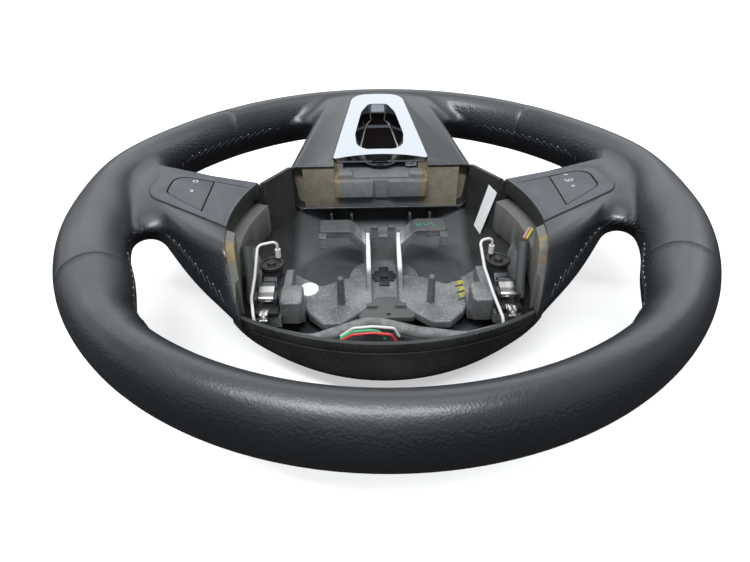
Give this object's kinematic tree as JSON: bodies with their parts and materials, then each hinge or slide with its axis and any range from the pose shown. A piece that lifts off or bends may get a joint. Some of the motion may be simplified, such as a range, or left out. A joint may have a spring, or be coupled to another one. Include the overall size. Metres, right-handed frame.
{
  "type": "car steering wheel",
  "caption": "Leather-covered car steering wheel with side spokes, a chrome-trimmed bottom spoke, switch keys and horn contacts, shown without its airbag.",
  "frame": {"origin": "on the steering axis at the rear mouth of the column bore", "axes": "+Z along the steering axis towards the driver, +Y to 12 o'clock, +X to the driver's right"},
  "size_m": [0.37, 0.37, 0.101],
  "materials": {
    "cast_metal": "rough die casting",
    "steel": "machined steel",
    "black_plastic": "moulded black",
    "cover_plastic": "fine-grained moulding",
    "grey_plastic": "satin grey moulding",
    "trim_plastic": "soft-touch paint",
    "foam": "moulded polyurethane foam",
    "leather": "grained satin leather",
    "chrome": "bright plated",
    "clear_plastic": "clear moulding",
    "spring_metal": "plated spring strip",
    "sleeve": "wound textile tape",
    "white_lead": "insulation",
    "red_lead": "insulation",
    "green_lead": "insulation",
    "pink_lead": "insulation",
    "yellow_lead": "insulation"
  },
  "bodies": {
    "wheel": {"armature": "cast_metal", "splined_hub": "steel", "hub_plug": "black_plastic", "foam_core": "foam", "leather_top": "leather", "leather_left": "leather", "leather_right": "leather", "leather_bottom": "leather", "back_cover": "cover_plastic", "cover_screws": "steel", "chrome_trim": "chrome", "trim_clip": "clear_plastic", "cable_guide": "grey_plastic", "harness_sleeve": "sleeve", "horn_wire_right": "white_lead", "horn_wire_left": "white_lead", "pink_wire": "pink_lead", "yellow_wire": "yellow_lead", "white_wire": "white_lead", "green_wire": "green_lead", "red_wire": "red_lead", "bezel_right": "trim_plastic", "blank_right": "trim_plastic", "switch_right": "black_plastic", "horn_holder_right": "black_plastic", "horn_cap_right": "black_plastic", "horn_terminal_right": "spring_metal", "switch_lead_right": "sleeve", "bezel_left": "trim_plastic", "blank_left": "trim_plastic", "switch_left": "black_plastic", "horn_holder_left": "black_plastic", "horn_cap_left": "black_plastic", "horn_terminal_left": "spring_metal", "switch_lead_left": "sleeve"},
    "rocker_right": {"rocker_right": "trim_plastic"},
    "rocker_left": {"rocker_left": "trim_plastic"},
    "horn_leaf_right": {"horn_leaf_right": "spring_metal"},
    "horn_leaf_left": {"horn_leaf_left": "spring_metal"}
  },
  "joints": [
    {"name": "rocker_right_press", "type": "hinge", "parent": "wheel", "child": "rocker_right", "pos_m": [0.12073, -0.015, 0.07584], "axis": [0.9926, 0, 0.1211], "range_deg": [-3, 3], "stiffness_Nm_per_rad": 0.8},
    {"name": "rocker_left_press", "type": "hinge", "parent": "wheel", "child": "rocker_left", "pos_m": [-0.12073, -0.015, 0.07584], "axis": [0.9926, 0, -0.1211], "range_deg": [-3, 3], "stiffness_Nm_per_rad": 0.8},
    {"name": "horn_leaf_right_press", "type": "hinge", "parent": "wheel", "child": "horn_leaf_right", "pos_m": [0.0695, 0.05, 0.0458], "axis": [1, 0, 0], "range_deg": [0, 5], "stiffness_Nm_per_rad": 0.4},
    {"name": "horn_leaf_left_press", "type": "hinge", "parent": "wheel", "child": "horn_leaf_left", "pos_m": [-0.0695, 0.05, 0.0458], "axis": [1, 0, 0], "range_deg": [0, 5], "stiffness_Nm_per_rad": 0.4}
  ]
}
